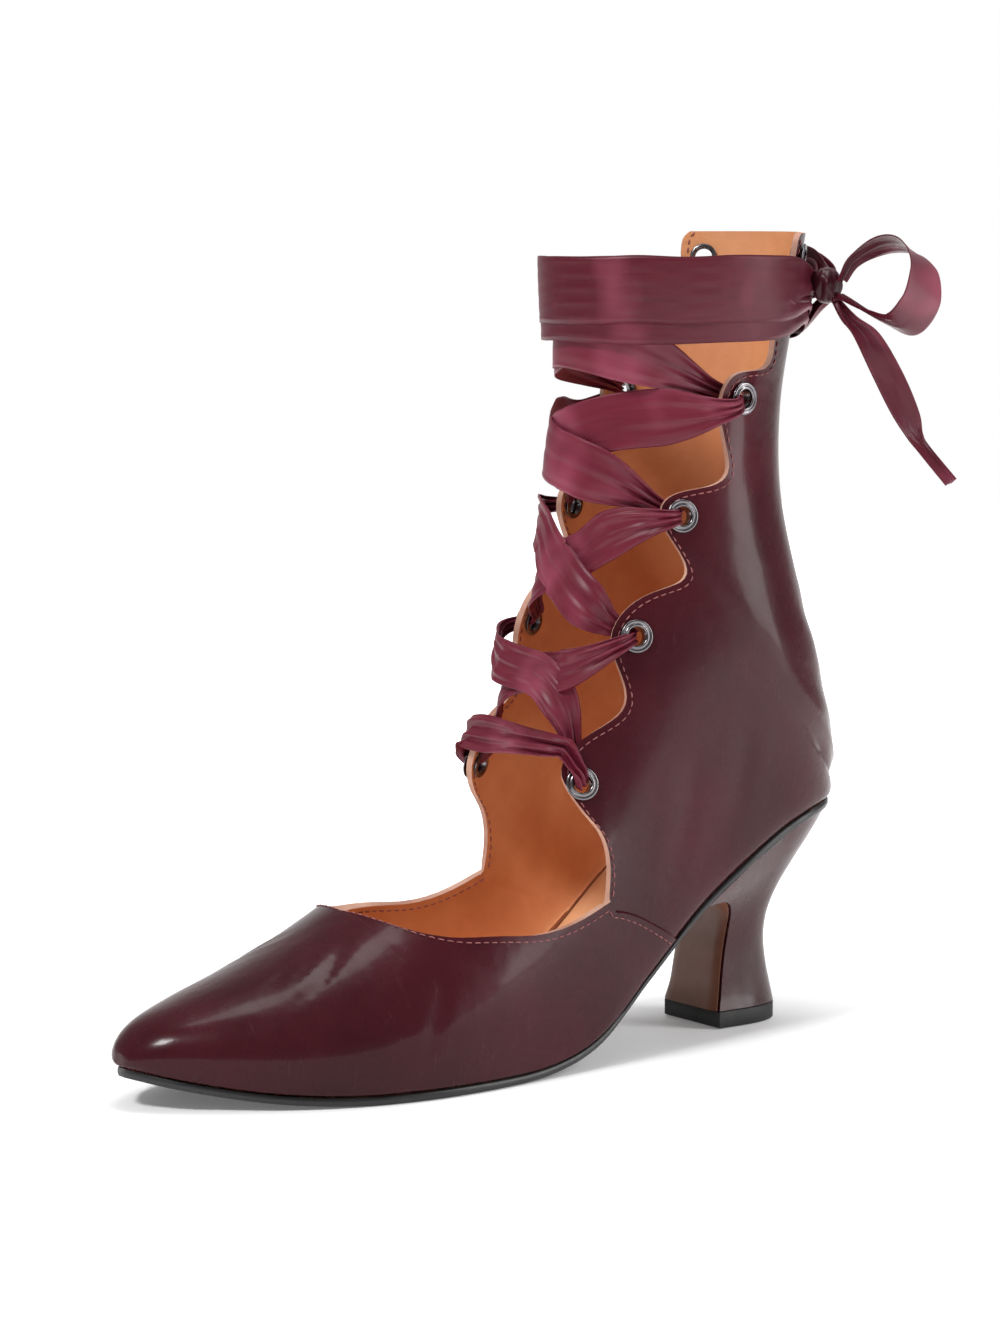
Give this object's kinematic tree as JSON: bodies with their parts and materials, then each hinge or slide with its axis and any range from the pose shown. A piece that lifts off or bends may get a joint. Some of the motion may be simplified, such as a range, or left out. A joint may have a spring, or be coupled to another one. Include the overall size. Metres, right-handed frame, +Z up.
{
  "type": "women's lace-up heel",
  "caption": "Left shoe with a pointed closed vamp, an open front with scalloped ribbon-laced quarters up to the ankle, a bow at the back corner and a flared spool heel.",
  "frame": {"origin": "on the floor, under the middle of the bounding box of the shoe without its bow", "axes": "+Z up, the toe points to -Y, +X to the outer side of the left foot"},
  "size_m": [0.1093, 0.253, 0.2453],
  "materials": {
    "burgundy_leather": "glossy, slightly crinkled",
    "heel_cover": "glossy",
    "tan_leather": "satin",
    "breast_leather": "satin",
    "black_sole": "satin",
    "black_lift": "matt",
    "satin_ribbon": "satin sheen",
    "gunmetal": "polished gunmetal"
  },
  "bodies": {
    "root": {"eyelet_inner_1": "gunmetal", "eyelet_inner_2": "gunmetal", "eyelet_inner_3": "gunmetal", "eyelet_inner_4": "gunmetal", "eyelet_inner_5": "gunmetal", "eyelet_inner_6": "gunmetal", "eyelet_outer_1": "gunmetal", "eyelet_outer_2": "gunmetal", "eyelet_outer_3": "gunmetal", "eyelet_outer_4": "gunmetal", "eyelet_outer_5": "gunmetal", "eyelet_outer_6": "gunmetal", "heel": "heel_cover", "heel_breast": "breast_leather", "insole": "tan_leather", "lace_bar": "satin_ribbon", "lace_cross_1": "satin_ribbon", "lace_cross_2": "satin_ribbon", "lace_cross_3": "satin_ribbon", "lace_cross_4": "satin_ribbon", "lace_end_back": "satin_ribbon", "lace_end_outer": "satin_ribbon", "lace_knot": "satin_ribbon", "lace_loop_back": "satin_ribbon", "lace_loop_outer": "satin_ribbon", "lace_wraps": "satin_ribbon", "outsole": "black_sole", "top_piece": "black_lift", "upper": "burgundy_leather"}
  },
  "joints": []
}
